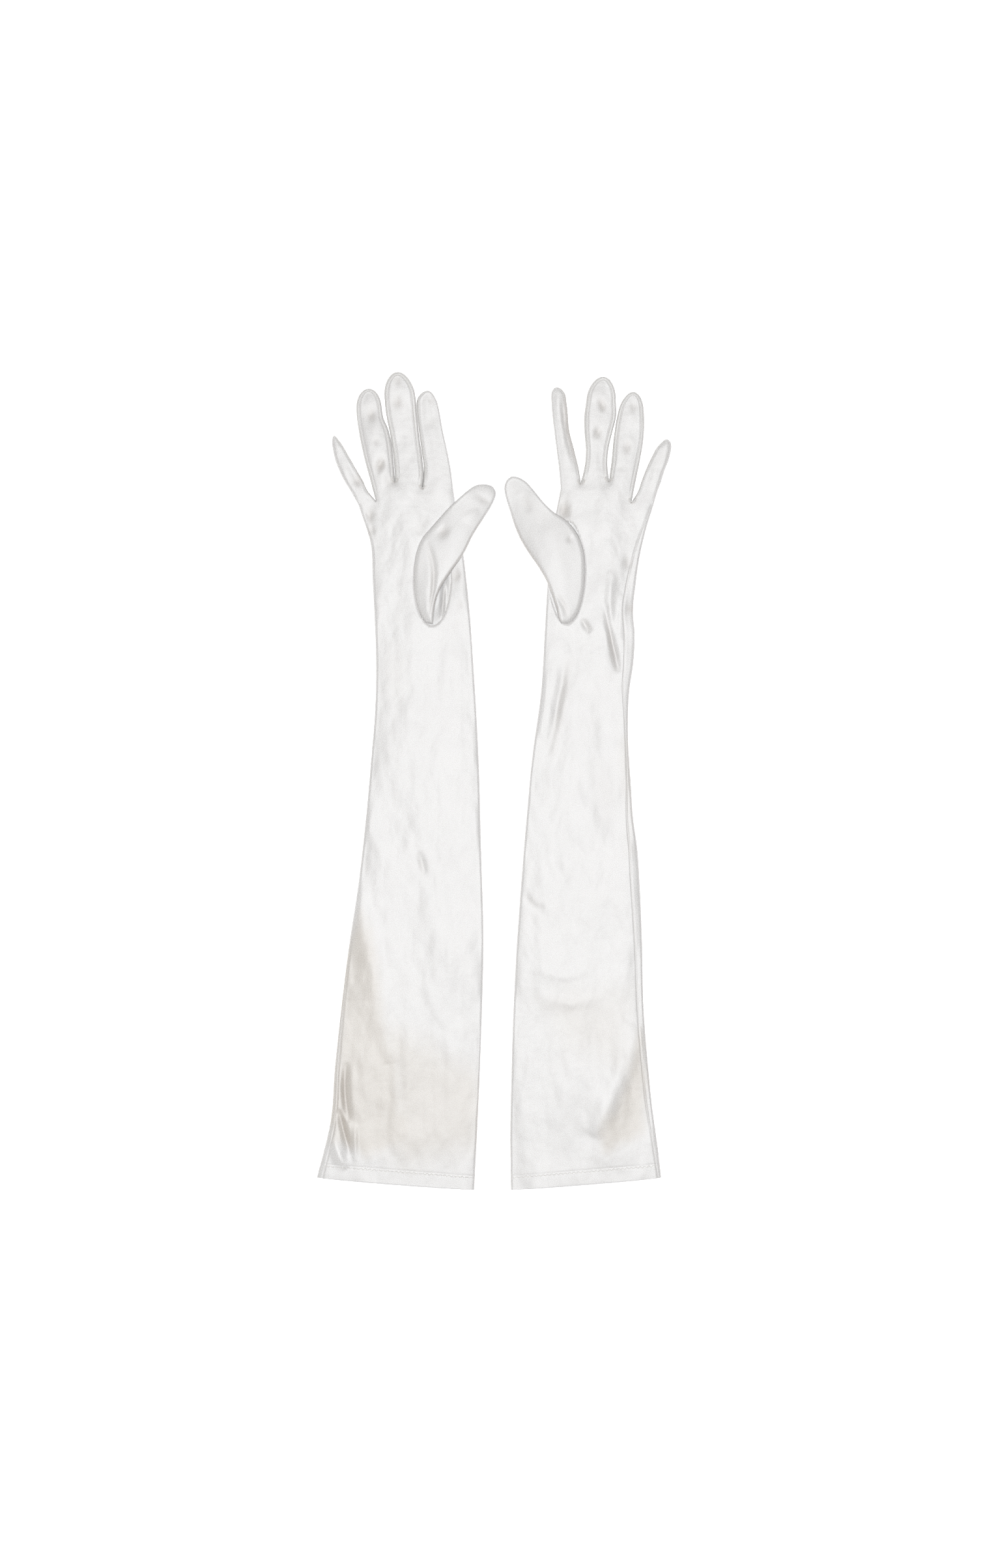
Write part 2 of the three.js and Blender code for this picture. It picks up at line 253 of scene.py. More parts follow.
rightGlove = {
    "side": "right",
    "toLittle": -1,
    "seed": 3.0,
    "thumbSeed": 41.0,
    "foldEdge": [
        (-367.2, -34.4), (-327, -36.4), (-260, -39.2), (-199, -40.7), (-135, -39.1), (-70, -37.3),
        (-10, -33.9), (31, -31), (67, -27), (112, -20),
    ],
    "seamEdge": [
        (-358.8, 73.6), (-341, 68.8), (-322, 64.4), (-284, 61.2), (-241, 56.6), (-199, 51.3),
        (-156, 44.9), (-113, 40), (-70, 36.2), (-40, 33.8), (-6, 33.1), (20, 34), (52, 35.6),
        (72, 36.4), (101, 45.2),
    ],
    "seamInset": [(-359, 4.2), (-290, 3), (-200, 1.4), (101, 1.4)],
    "knuckles": [(-20, 112), (1.2, 112.6), (20.1, 117), (33.3, 104), (45.2, 101)],
    "fingers": {
        "index": {
            "edges": [
                (112, -20, 1.2), (124, -18.5, 0.2), (138, -15.9, 1.8), (152, -12.8, 3.7),
                (166, -10.3, 5.1), (180, -6.9, 5.6),
            ],
            "tip": (-2.2, 179), "round": 9.5, "gusseted": (False, True),
        },
        "middle": {
            "edges": [
                (113, 1.5, 20.1), (122, 0.4, 20.2), (132, 1.2, 20.9), (147, 3.3, 22.9), (162, 4.9, 26),
                (174, 5.8, 27.3), (190, 8, 27.3),
            ],
            "tip": (18, 191.8), "round": 15, "gusseted": (True, True),
        },
        "ring": {
            "edges": [
                (104, 20, 33.3), (117, 20.3, 36.8), (132, 21.1, 40.9), (147, 23.1, 44.2),
                (153, 24.7, 45.2), (160, 27.6, 46.2), (170, 29.1, 46.6), (182, 29, 46.5),
            ],
            "tip": (37.8, 180.4), "round": 13, "gusseted": (True, True),
        },
        "little": {
            "edges": [
                (101, 32, 45.2), (109.6, 38.4, 50.1), (116.7, 41.4, 54.5), (124, 45.6, 58.1),
                (131, 49.6, 60.8), (140, 54.6, 62.8), (150, 59, 64),
            ],
            "tip": (61.4, 148.3), "round": 9, "gusseted": (True, False),
        },
    },
    "oval": {"centre": (-5.5, 49), "half": (12.2, 30.7)},
    "thumb": [
        (-5.4, 19.6, -5.4, 19.6), (-0.6, 21.6, -5.8, 24), (3.7, 30, -6.6, 31), (6.3, 41, -8.6, 39),
        (6.7, 54, -12.5, 47), (5.4, 67, -20, 58), (1, 78, -27, 68), (-6.5, 86.5, -33, 80),
        (-16, 97.1, -38.5, 88.8), (-24.5, 105.4, -44.4, 98), (-30.8, 110.9, -47.7, 104.5),
        (-36, 113.9, -48.7, 109), (-41, 114.4, -46.6, 112.9), (-44.2, 113.9, -44.2, 113.9),
    ],
    "tongue": [(-14.2, 46.9), (-13.2, 35), (-12.8, 22)],
    # path, width, lift, tilt
    "folds": [
        ([(44, -150), (39, -185), (30, -230), (20, -280)], 9, 1.3, 1.2),
        ([(54, -280), (54.5, -300), (52, -322)], 2.6, -1.6, 0.8),
        ([(58, -312), (54, -328), (50, -343)], 2.2, -1.8, -0.8),
        ([(47, -322), (46.5, -348)], 1.6, 0.8, 0.5),
        ([(63, -330), (58, -344), (52, -352)], 3.5, 1.4, 0.0),
        ([(4, -136), (0, -152)], 2.2, -0.6, 0.5),
        ([(42, -92), (45, -150)], 4, -0.5, 0.4),
        ([(-10, -20), (-14, -70), (-12, -120)], 12, 0.5, 0.3),
        ([(20, 10), (16, -40)], 8, -0.4, 0.4),
        ([(-2, 95), (4, 80)], 3, -0.4, 0.0),
    ],
    "dimples": [
        (45.2, 117.5, 2.8, 1.0), (36.3, 162.5, 2.6, 1.0), (31, 127, 2.8, 1.0), (29, 129.5, 2.4, 0.8),
        (33, 144, 1.8, 0.5), (18.5, 186, 2.6, 0.6), (18.5, 171, 2.8, 0.9), (37, 93, 2.6, 0.9),
        (36.5, 83, 2.4, 0.9), (24.5, 117, 3, 0.5), (-4.7, 173, 2.4, 0.4), (-4, 157, 2.4, 0.3),
        (57, -346, 4, -0.9), (-21.5, 53, 3.4, 1.0), (-24, 33, 2.4, 0.5), (-22, 19, 2.6, 0.3),
    ],
    "thumbFolds": [
        ([(-1.6, 75.9), (-4.7, 65.9), (-6.4, 55.9), (-6, 43.5), (-3.5, 26)], 1.7, -1.2, 0.6),
        ([(-10, 84), (-16, 80)], 4.2, -1.0, 0.0),
        ([(-34, 108), (-46, 101)], 3, -0.4, 0.2),
        ([(-27, 90), (-36, 98)], 3, 0.4, 0.3),
    ],
    # painted warm shade zones: outline, softness, amount
    "paintedWarmShade": [
        (
            [(44, -176), (31, -232), (24, -272), (17, -327), (40, -343), (64, -335), (62, -285), (56, -225)],
            13, 1.0,
        ),
        ([(24, -258), (-5, -272), (-38, -290), (-40, -335), (-12, -348), (12, -346), (26, -338)], 30, 0.8),
    ],
    "loops": [(1.2, 113.6, 1.3), (20, 118.4, 1.4)],
    "rolls": [],
}
leftGlove = {
    "side": "left",
    "toLittle": 1,
    "seed": 17.0,
    "thumbSeed": 53.0,
    "foldEdge": [
        (-367.2, -53.5), (-327, -53.9), (-284, -53), (-241, -51.6), (-199, -49.4), (-156, -46.3),
        (-113, -42.8), (-70, -38.7), (-28, -33), (13, -30.4), (38, -29), (80, -25.5), (112, -19.5),
    ],
    "seamEdge": [
        (-358.8, 49.6), (-341, 47.6), (-306, 42.9), (-284, 40.8), (-241, 37.5), (-199, 36.6),
        (-156, 34.8), (-135, 33.4), (-113, 30.4), (-92, 29), (-49, 26.9), (-28, 27.7), (-6, 30.7),
        (13, 31.5), (28, 30.3), (45, 32), (67, 35.2), (81, 38.4), (101, 44.4),
    ],
    "seamInset": [
        (-359, 2.6), (-316, 4), (-228, 4.6), (-149, 6.2), (-39, 3.2), (-20, 5.6), (18, 7.4), (70, 5.2),
        (101, 3),
    ],
    "knuckles": [(-19.5, 112), (-5.6, 116.2), (13.9, 117.6), (29.4, 103.3), (44.4, 101)],
    "fingers": {
        "index": {
            "edges": [
                (112, -19.6, -5.4), (124, -20.5, -6.6), (138, -22.2, -9.8), (152, -24, -13.3),
                (166, -25.5, -14.5), (182, -26.2, -16.6),
            ],
            "tip": (-21.8, 181.3), "round": 6.5, "gusseted": (False, True),
        },
        "middle": {
            "edges": [
                (116, -5.4, 13.9), (124, -3.5, 12.9), (138, -2.2, 13.4), (150, -3.2, 16),
                (161, -3.4, 18.6), (172, -2, 18.6), (188, 0, 18),
            ],
            "tip": (9.6, 188.6), "round": 14, "gusseted": (True, True),
        },
        "ring": {
            "edges": [
                (103.3, 14, 29.4), (117, 14, 32.1), (131, 15.4, 35), (146, 16.8, 37.5), (160, 19, 38),
                (170, 21.2, 37.4), (180, 23, 37),
            ],
            "tip": (30.2, 178.2), "round": 12, "gusseted": (True, True),
        },
        "little": {
            "edges": [
                (101, 28.6, 44.4), (109.6, 33.4, 46.9), (116.7, 35.7, 49.5), (124, 38.4, 51.8),
                (131, 41.5, 54.5), (138, 45, 56.3), (147, 49, 57.4),
            ],
            "tip": (53.2, 145.8), "round": 8, "gusseted": (True, False),
        },
    },
    "oval": {"centre": (-15, 54.7), "half": (12, 35)},
    "thumb": [
        (-18.5, 20.1, -18.5, 20.1), (-13, 20.8, -20.2, 24), (-7.6, 28, -21.9, 31), (-4.2, 40, -25, 40),
        (-3.1, 54, -29.3, 50), (-3.7, 67, -35, 59.5), (-7.4, 79, -41.2, 68.5), (-14.5, 88.6, -46.6, 77.6),
        (-24, 95.2, -50.4, 86.5), (-31.5, 102.5, -53.6, 96.5), (-38.5, 111.2, -56.4, 105.5),
        (-43.5, 116.5, -57.5, 112), (-48.5, 119.3, -56, 117.2), (-52.6, 119.9, -52.6, 119.9),
    ],
    "tongue": [(-22.5, 40), (-19.5, 31), (-18.5, 24)],
    # path, width, lift, tilt
    "folds": [
        ([(35, -255), (25, -288), (15, -312), (5, -332)], 8, 1.4, -1.3),
        ([(-14, -2), (-20, -35), (-27, -72)], 3.4, -0.8, 0.8),
        ([(11, 34), (13, 18), (16, 4), (20, -14)], 2.3, -1.5, -0.6),
        ([(15, 56), (13, 32), (12, 6)], 3.2, 0.8, 0.5),
        ([(22, 40), (20, 8)], 2.6, 0.6, 0.4),
        ([(-4.7, 23), (0.9, 13.4)], 2.2, -0.8, 0.2),
        ([(-15.5, 181), (-16.4, 164), (-12.6, 144), (-7.6, 124)], 2.6, -1.5, 0.0),
        ([(-40, -216), (-20, -222), (0, -219)], 4, 0.4, 0.3),
        ([(-36, -232), (-12, -238), (10, -233)], 4.5, 0.4, -0.3),
        ([(-42, -165), (-38, -172), (-30, -176)], 3, -0.4, 0.3),
        ([(28, -30), (30, -80), (30, -130)], 3, 0.5, 0.4),
        ([(8, -70), (10, -120)], 9, -0.4, 0.3),
    ],
    "dimples": [
        (-17.2, 97, 4, 1.5), (8.2, 171, 2.2, 0.8), (9.8, 167.5, 2, 0.9), (6, 150.5, 2.3, 1.0),
        (30.4, 168, 2.5, 0.6), (26.2, 140.3, 2.5, 0.9), (26.4, 61, 2.8, 0.7), (50, 134, 3, 0.3),
        (28.8, 29.7, 2.0, 1.2), (22, 126, 1.8, 0.3),
    ],
    "thumbFolds": [
        ([(-12.3, 79.6), (-13.6, 74.6)], 1.4, -0.8, 0.2),
        ([(-22, 40), (-16, 30), (-15, 24)], 2, -0.8, 0.5),
        ([(-46, 108), (-40, 96)], 3.4, -0.4, 0.3),
        ([(-30, 84), (-24, 66), (-18, 44)], 6, 0.2, 0.2),
    ],
    # painted warm shade zones: outline, softness, amount
    "paintedWarmShade": [
        ([(35, -258), (25, -292), (9, -328), (12, -340), (35, -327), (39, -290)], 12, 1.0),
        ([(-34, -236), (26, -232), (24, -282), (-18, -268)], 34, 0.4),
        ([(22, -60), (32, -60), (33, -140), (24, -140)], 10, 0.3),
    ],
    "loops": [(-5.2, 117.4, 1.8), (13.4, 119.3, 1.8), (29.8, 104.6, 2)],
    "rolls": [[(-25.6, 43), (-22.6, 33), (-20.6, 25.5), (-19.2, 22.6), (-17.5, 23.6), (-17.9, 27.5)]],
}
gloves = [rightGlove, leftGlove]
for glove in gloves:
    wrist = joints[glove["side"] + "_wrist_bend"]["pos_m"]
    elbow = joints[glove["side"] + "_elbow_bend"]["pos_m"]
    glove["wrist"] = (wrist[0] / mm, wrist[1] / mm)
    glove["elbow"] = (elbow[1] - wrist[1]) / mm

clothMake = {
    "thickness": 0.45,
    "hemThickness": 0.95,
    "hemDepth": 9.5,
    "backShows": 1.4,
    "edgeLevel": 1.7,
    "edgeRound": 1.0,
    "height": 4.5,
    "crown": 0.9,
    "underside": 0.5,
    "fingerColumns": {"index": 24, "middle": 28, "ring": 28, "little": 22},
    "fingerSeam": {"index": 1.6, "middle": 2.8, "ring": 2.6, "little": 1.5},
    "bandShares": [0, 0.05, 0.17, 0.4, 0.72, 0.87, 1],
    "besideSeam": 0.35,
    "seamDepth": 0.35,
    "rowSpacing": 1.3,
    "handRowSpacing": 0.95,
    "fingerBend": {"index": 117.7, "middle": 117.7, "ring": 117.7, "little": 104.4},
    "bendReach": {"arm": 14, "finger": 9, "thumb": 16},
}
clothRelief = {
    "folds": 0.8,
    "slack": 1.3,
    "crownReach": 8.0,
    "slackFrom": 4.0,
    "backSlack": 0.35,
    "pucker": 0.04,
    "puckerTurns": 1.15,
    "ovalSeam": 0.7,
    "ovalSink": 0.5,
    "edgeShade": 0.22,
    "seamShade": 0.7,
    "ovalShade": 0.2,
    "backEdgeShade": 0.5,
}


def smoothCurve(stations):
    knots = np.array(stations, float)
    at, values = knots[:, 0], knots[:, 1:]
    slopes = np.gradient(values, at, axis=0)

    def read(where):
        where = np.clip(np.atleast_1d(np.asarray(where, float)), at[0], at[-1])
        i = np.clip(np.searchsorted(at, where, side="right") - 1, 0, len(at) - 2)
        span = (at[i + 1] - at[i])[:, None]
        t = ((where - at[i]) / span[:, 0])[:, None]
        near = (2 * t**3 - 3 * t**2 + 1) * values[i] + (t**3 - 2 * t**2 + t) * span * slopes[i]
        far = (3 * t**2 - 2 * t**3) * values[i + 1] + (t**3 - t**2) * span * slopes[i + 1]
        return near + far

    return read


def ease(t):
    t = np.clip(t, 0, 1)
    return t * t * (3 - 2 * t)


def resample(line, spacing, spare=2):
    steps = np.linalg.norm(np.diff(line, axis=0), axis=1)
    length = np.concatenate([[0], np.cumsum(steps)])
    at = np.linspace(0, length[-1], max(2, int(length[-1] / spacing) + spare))
    return np.stack([np.interp(at, length, line[:, k]) for k in range(line.shape[1])], axis=1)


def densePath(points, spacing):
    points = np.asarray(points, float)
    if len(points) > 2:
        curve = smoothCurve([(k, *p) for k, p in enumerate(points)])
        points = curve(np.linspace(0, len(points) - 1, 12 * len(points)))
    return resample(points, spacing, 1)


def sleeveRow(glove, alongFold, alongSeam):
    left = smoothCurve(glove["foldEdge"])(alongFold)[0, 0]
    right = smoothCurve(glove["seamEdge"])(alongSeam)[0, 0]
    inset = smoothCurve(glove["seamInset"])(alongSeam)[0, 0]
    width = right - left
    foldZone = np.array([0, 0.12, 0.42, 0.95, 2])
    seamZone = width - inset * np.array(clothMake["bandShares"])[::-1]
    between = sum(clothMake["fingerColumns"].values()) + 1 - len(foldZone) - len(seamZone)
    main = np.linspace(3.2, width - inset - clothMake["besideSeam"], between)
    places = np.concatenate([foldZone, main, seamZone])
    along = alongFold + (alongSeam - alongFold) * places / width
    return np.stack([left + places, along], axis=1)


def fingerRow(edges, seams, cells):
    # edge, seam, face of the finger, seam, edge
    band = np.array(clothMake["bandShares"])[:, None]
    (left, right), (leftSeam, rightSeam) = edges, seams
    between = cells - 2 * (len(band) - 1) - 1
    beside = min(0.12, clothMake["besideSeam"] / max(np.linalg.norm(rightSeam - leftSeam), 1e-6))
    face = np.linspace(beside, 1 - beside, between)[:, None]
    return np.concatenate([
        left + (leftSeam - left) * band,
        leftSeam + (rightSeam - leftSeam) * face,
        (right + (rightSeam - right) * band)[::-1],
    ])


def knuckleRow(glove):
    points = np.array(glove["knuckles"], float)
    row = []
    for k, (name, cells) in enumerate(clothMake["fingerColumns"].items()):
        left, right = points[k], points[k + 1]
        inward = (right - left) * clothMake["fingerSeam"][name] / np.linalg.norm(right - left)
        row.append(fingerRow((left, right), (left + inward, right - inward), cells)[:-1])
    return np.concatenate([*row, points[-1:]])


def sleeveRows(glove):
    foldHem, seamHem = glove["foldEdge"][0][0], glove["seamEdge"][0][0]
    foldTop, seamTop = glove["knuckles"][0][1], glove["knuckles"][-1][1]
    depth, spacing = clothMake["hemDepth"], clothMake["rowSpacing"]
    rows, labels = [], []

    def addLength(label, foldFrom, foldTo, seamFrom, seamTo, step):
        count = math.ceil((foldTo - foldFrom) / step)
        for k in range(count):
            t = k / count
            alongFold, alongSeam = foldFrom + (foldTo - foldFrom) * t, seamFrom + (seamTo - seamFrom) * t
            rows.append(sleeveRow(glove, alongFold, alongSeam))
            labels.append(label)

    foldTurn, seamTurn, beside = foldHem + depth, seamHem + depth, clothMake["besideSeam"]
    addLength("hem", foldHem, foldTurn - beside, seamHem, seamTurn - beside, 1.2)
    addLength("hem", foldTurn - beside, foldTurn, seamTurn - beside, seamTurn, 1)
    addLength("upper_arm", foldTurn, foldTurn + beside, seamTurn, seamTurn + beside, 1)
    addLength("upper_arm", foldTurn + beside, glove["elbow"], seamTurn + beside, glove["elbow"], spacing)
    addLength("forearm", glove["elbow"], 0, glove["elbow"], 0, spacing)
    knuckles = knuckleRow(glove)
    shift = knuckles - sleeveRow(glove, foldTop, seamTop)
    count = math.ceil(foldTop / clothMake["handRowSpacing"])
    for k in range(count + 1):
        t = k / count
        rows.append(sleeveRow(glove, foldTop * t, seamTop * t) + shift * ease((t - 0.3) / 0.7))
        labels.append("hand")
    return np.array(rows), labels[:-1]


def fingerRows(glove, name, base):
    finger = glove["fingers"][name]
    edges = smoothCurve(finger["edges"])
    tipAcross, tipAlong = finger["tip"]
    bend = tipAlong - finger["round"]
    cells, seamIn = clothMake["fingerColumns"][name], clothMake["fingerSeam"][name]

    def ends(leftAlong, rightAlong, angle, inset):
        # both ends of one row, on the outline or drawn in from it; the angle goes round the tip
        rise = (finger["round"] - inset) * math.sin(angle)
        left = edges(leftAlong + rise)[0, 0] + inset
        right = edges(rightAlong + rise)[0, 1] - inset
        lean = math.sin(angle) ** 2
        middle = (left + right) / 2 * (1 - lean) + tipAcross * lean
        half = (right - left) / 2 * math.cos(angle)
        return np.array([middle - half, leftAlong + rise]), np.array([middle + half, rightAlong + rise])

    def row(leftAlong, rightAlong, angle):
        outline = ends(leftAlong, rightAlong, angle, 0)
        return fingerRow(outline, ends(leftAlong, rightAlong, angle, seamIn), cells)

    leftBase, rightBase = base[0, 1], base[-1, 1]
    count = math.ceil((bend - max(leftBase, rightBase)) / clothMake["handRowSpacing"])
    offset = base - row(leftBase, rightBase, 0)
    rows = []
    for k in range(count):
        t = k / count
        made = row(leftBase + (bend - leftBase) * t, rightBase + (bend - rightBase) * t, 0)
        rows.append(made + offset * (1 - ease(t / 0.3)))
    rows += [row(bend, bend, angle) for angle in np.linspace(0, math.pi / 2, 19)]
    return np.array(rows)


def thumbRows(glove):
    rungs = np.array(glove["thumb"], float)
    curve = smoothCurve([(k, *rung) for k, rung in enumerate(rungs)])
    last = len(rungs) - 1
    foot, tip = np.linspace(0, 1, 12)[:-1], np.linspace(last - 1, last, 9)
    at = np.concatenate([foot, np.linspace(1, last - 1, 110)[:-1], tip])
    sides = curve(at)
    even = np.linspace(0, 1, thumbMake["columns"])
    shares = 0.65 * (1 - np.cos(math.pi * even)) / 2 + 0.35 * even
    left, right = sides[:, None, 0:2], sides[:, None, 2:4]
    return left + (right - left) * shares[None, :, None], at / last


def outlineTree(lines):
    samples = np.concatenate([resample(line, 0.3) for line in lines])
    tree = KDTree(len(samples))
    for k, (x, y) in enumerate(samples):
        tree.insert((x, y, 0), k)
    tree.balance()
    return tree


def distances(tree, points):
    return np.array([tree.find((x, y, 0))[2] for x, y in points])


def foldRelief(folds, points):
    # height of the folds, and their painted shade: darker in hollows and on one sloping side, lighter on
    # crests
    total, shade = np.zeros(len(points)), np.zeros(len(points))
    for stations, width, lift, tilt in folds:
        path = densePath(stations, 0.8)
        near = np.full(len(points), 1e9)
        side = np.zeros(len(points))
        share = np.zeros(len(points))
        for k in range(len(path) - 1):
            along = path[k + 1] - path[k]
            length = np.linalg.norm(along)
            along = along / length
            offset = points - path[k]
            t = np.clip(offset @ along, 0, length)
            apart = offset - t[:, None] * along
            distance = np.linalg.norm(apart, axis=1)
            closer = distance < near
            near[closer] = distance[closer]
            side[closer] = np.sign(apart[closer] @ np.array([-along[1], along[0]]))
            share[closer] = (k + t[closer] / length) / (len(path) - 1)
        taper = np.sin(math.pi * np.clip(share, 0, 1)) ** 0.6
        reach = near / width
        bell = taper * np.exp(-(reach**2))
        total += bell * (lift + tilt * side * reach)
        shade += bell * (0.12 * tilt * side * reach - 0.2 * lift)
    return total, shade


def dimpleRelief(dimples, points):
    total = np.zeros(len(points))
    for across, along, radius, depth in dimples:
        apart = (points - (across, along)) / (1.2 * radius)
        total -= 0.7 * depth * np.exp(-(apart[:, 0] ** 2 + 0.5 * apart[:, 1] ** 2) * 1.2)
    # painted shade darkens the dimples, and lightens the few raised ones
    return total, -0.42 * total


def loopShade(loops, points):
    # painted shade in a ring round each crotch loop, on its lower side
    shade = np.zeros(len(points))
    for across, along, radius in loops:
        apart = points - (across, along)
        ring = np.linalg.norm(apart, axis=1) - radius - 0.5
        shade += 0.4 * np.exp(-((ring / 0.7) ** 2)) * (apart[:, 1] < 0.6)
    return shade


def slack(points, seed):
    # broad slack of cloth lying loose, with finer puckers between
    made = np.empty(len(points))
    for k, (x, y) in enumerate(points):
        broad = noise.noise((x / 22, y / 46, seed))
        fine = noise.noise((x / 7, y / 13, seed + 5))
        tiny = noise.noise((x / 2.6, y / 3.2, seed + 9))
        made[k] = 0.75 * broad + 0.2 * fine + 0.05 * tiny
    return made


def placed(glove, points, level):
    across, along = points[:, 0], points[:, 1]
    x = glove["wrist"][0] + glove["toLittle"] * across
    return np.stack([x, glove["wrist"][1] + along, level], axis=1)


class Shell:
    # vertices and labelled faces of one cloth, gathered patch by patch and then merged
    def __init__(self, glove):
        self.glove, self.count = glove, 0
        self.places, self.flat, self.shades, self.faces, self.labels = [], [], [], [], []

    def addPatch(self, grid, level, labels, up, shade):
        rows, columns = grid.shape[:2]
        points = grid.reshape(-1, 2)
        self.places.append(placed(self.glove, points, level))
        self.flat.append(points)
        self.shades.append(shade)
        index = self.count + np.arange(rows * columns).reshape(rows, columns)
        self.count += rows * columns
        corners = [index[:-1, :-1], index[:-1, 1:], index[1:, 1:], index[1:, :-1]]
        quads = np.stack(corners, axis=-1).reshape(-1, 4)
        if up != (self.glove["toLittle"] > 0):
            quads = quads[:, ::-1]
        keep = labels.ravel() != ""
        self.faces.append(quads[keep])
        self.labels.append(labels.ravel()[keep])

    def finish(self):
        places, flat = np.concatenate(self.places), np.concatenate(self.flat)
        faces, labels = np.concatenate(self.faces), np.concatenate(self.labels)
        cells = np.round(places * 1000).astype(np.int64)
        _, first, inverse = np.unique(cells, axis=0, return_index=True, return_inverse=True)
        self.verts, self.uv, self.shade = places[first], flat[first], np.concatenate(self.shades)[first]
        faces = inverse.reshape(-1)[faces]
        self.polygons, self.polygonLabels = [], []
        for face, label in zip(faces.tolist(), labels.tolist()):
            around = [v for k, v in enumerate(face) if v != face[k - 1]]
            if len(set(around)) > 2:
                self.polygons.append(around)
                self.polygonLabels.append(label)
        normals = np.zeros_like(self.verts)
        for size in (3, 4):
            some = np.array([p for p in self.polygons if len(p) == size])
            if len(some):
                # a triangle's last corner stands in for a fourth
                a, b, c, d = (self.verts[some[:, k]] for k in (0, 1, 2, size - 1))
                cross = np.cross(c - a, d - b)
                for k in range(size):
                    np.add.at(normals, some[:, k], cross)
        self.normals = normals / np.maximum(np.linalg.norm(normals, axis=1), 1e-9)[:, None]


def dressMesh(mesh, flat, material):
    # the cloth's own flat measures are its texture map
    corners = np.empty(len(mesh.loops), np.int32)
    mesh.loops.foreach_get("vertex_index", corners)
    layer = mesh.uv_layers.new(name="cloth")
    layer.data.foreach_set("uv", flat[corners].astype(np.float32).ravel())
    mesh.polygons.foreach_set("use_smooth", [True] * len(mesh.polygons))
    mesh.materials.append(material)


def clothPiece(shell, label, name, thickness, material):
    faces = [f for f, l in zip(shell.polygons, shell.polygonLabels) if l == label]
    used = sorted({v for f in faces for v in f})
    renumber = {v: k for k, v in enumerate(used)}
    count = len(used)
    outer = shell.verts[used]
    normal = shell.normals[used]
    inner = outer - normal * thickness
    outside = [[renumber[v] for v in f] for f in faces]
    inside = [[v + count for v in reversed(f)] for f in outside]
    edges = {(f[k - 1], v): True for f in outside for k, v in enumerate(f)}
    rims = [[b, a, a + count, b + count] for a, b in edges if (b, a) not in edges]
    mesh = bpy.data.meshes.new(name)
    mesh.from_pydata((np.concatenate([outer, inner]) * mm).tolist(), [], outside + inside + rims)
    flat = np.concatenate([shell.uv[used]] * 2)
    dressMesh(mesh, flat, material)
    shade = np.concatenate([shell.shade[used]] * 2)
    # painted warm shade and painted shade ride on the cloth as point attributes
    for key, values in (("warm_painted_shade", paintedWarmShadeAt(shell.glove, flat)), ("shade", shade)):
        mesh.attributes.new(key, "FLOAT", "POINT").data.foreach_set("value", values.astype(np.float32))
    mesh.normals_split_custom_set_from_vertices(np.concatenate([normal, -normal]).tolist())
    return addObject(name, mesh)


def paintedWarmShadeAt(glove, points):
    # painted warm shade: zones where the satin's sheen falls off, painted as a beige tint, with soft uneven
    # edges
    total = np.zeros(len(points))
    uneven = 9 * slack(points, 88.0)
    for corners, softness, amount in glove["paintedWarmShade"]:
        corners = np.array(corners, float)
        nearest, inside = np.full(len(points), 1e9), np.zeros(len(points), bool)
        for a, b in zip(corners, np.roll(corners, -1, axis=0)):
            run = b - a
            t = np.clip((points - a) @ run / (run @ run), 0, 1)
            nearest = np.minimum(nearest, np.linalg.norm(points - a - t[:, None] * run, axis=1))
            crossed = (a[1] > points[:, 1]) != (b[1] > points[:, 1])
            inside ^= crossed & (points[:, 0] < a[0] + (points[:, 1] - a[1]) * run[0] / (run[1] or 1e-9))
        total += amount * ease(0.5 + (np.where(inside, nearest, -nearest) + uneven) / softness)
    return np.clip(total, 0, 1)


def sideEdges(shape):
    mask = np.zeros(shape, bool)
    mask[:, 0] = mask[:, -1] = True
    return mask


def roundOver(distance, radius):
    return np.sqrt(1 - (1 - np.minimum(distance / radius, 1)) ** 2)


def frontLayer(glove, points, distance, groove, ovalSeam):
    # level and shade of the palm side
    make, relief, seed = clothMake, clothRelief, glove["seed"]
    rim = roundOver(distance, make["edgeRound"])
    folds, foldShade = foldRelief(glove["folds"], points)
    dips, dipShade = dimpleRelief(glove["dimples"], points)
    crown = make["crown"] * (1 - np.exp(-distance / relief["crownReach"]))
    pucker = relief["pucker"] * np.sin(points[:, 1] * relief["puckerTurns"] + seed) * np.exp(-distance / 4)
    uneven = relief["folds"] * (folds + dips) + relief["slack"] * slack(points, seed) + pucker
    level = make["edgeLevel"] + (make["height"] + crown - make["edgeLevel"]) * rim
    level += uneven * ease(distance / relief["slackFrom"]) - relief["ovalSink"] * ovalSeam
    level = np.maximum(level, make["edgeLevel"] - 0.4 + 1.2 * rim)
    # painted shade of folds, dimples, crotch loops, rounded edges, seam grooves and the oval seam
    shade = foldShade + dipShade + loopShade(glove["loops"], points) + relief["edgeShade"] * (1 - rim)
    shade += relief["seamShade"] * groove * (0.8 + 0.9 * slack(points, seed + 60))
    shade += relief["ovalShade"] * ovalSeam
    return level - groove * ease(distance / 0.8), shade


def backLayer(glove, points, distance, groove):
    make, relief = clothMake, clothRelief
    rim = roundOver(distance, make["edgeRound"])
    level = make["edgeLevel"] - (make["edgeLevel"] - make["underside"]) * rim
    level += relief["backSlack"] * np.abs(slack(points, glove["seed"] + 30)) * ease(distance / 5)
    # painted shade on the back's rounded edges and seam grooves
    return level + 0.5 * groove * ease(distance / 0.8), relief["backEdgeShade"] * (1 - rim) + groove


